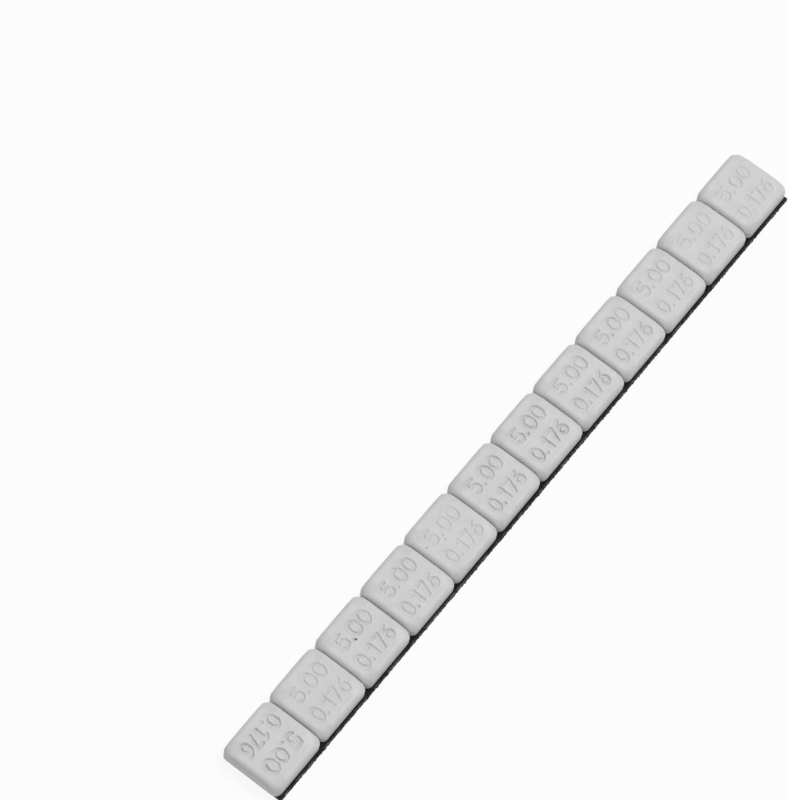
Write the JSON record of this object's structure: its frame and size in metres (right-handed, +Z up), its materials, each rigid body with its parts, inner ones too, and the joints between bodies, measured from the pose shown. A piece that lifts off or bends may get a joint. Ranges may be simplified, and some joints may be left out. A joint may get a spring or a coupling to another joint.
{
  "type": "wheel balance weight",
  "caption": "Stick-on strip of square coated steel weights on black foam tape, pressed onto the inside of a wheel rim to balance the wheel.",
  "frame": {"origin": "middle of the strip's box, on the underside of the release liner", "axes": "+X along the strip, +Y across it towards the side where the weights cover the tape's edge, +Z up through the weights"},
  "size_m": [0.1656, 0.0142, 0.0049],
  "materials": {
    "coated_steel": "satin",
    "black_foam": "matte",
    "release_paper": "satin"
  },
  "bodies": {
    "root": {"weight_01": "coated_steel", "weight_02": "coated_steel", "weight_03": "coated_steel", "weight_04": "coated_steel", "weight_05": "coated_steel", "weight_06": "coated_steel", "weight_07": "coated_steel", "weight_08": "coated_steel", "weight_09": "coated_steel", "weight_10": "coated_steel", "weight_11": "coated_steel", "weight_12": "coated_steel", "foam_tape": "black_foam", "release_liner": "release_paper"}
  },
  "joints": []
}
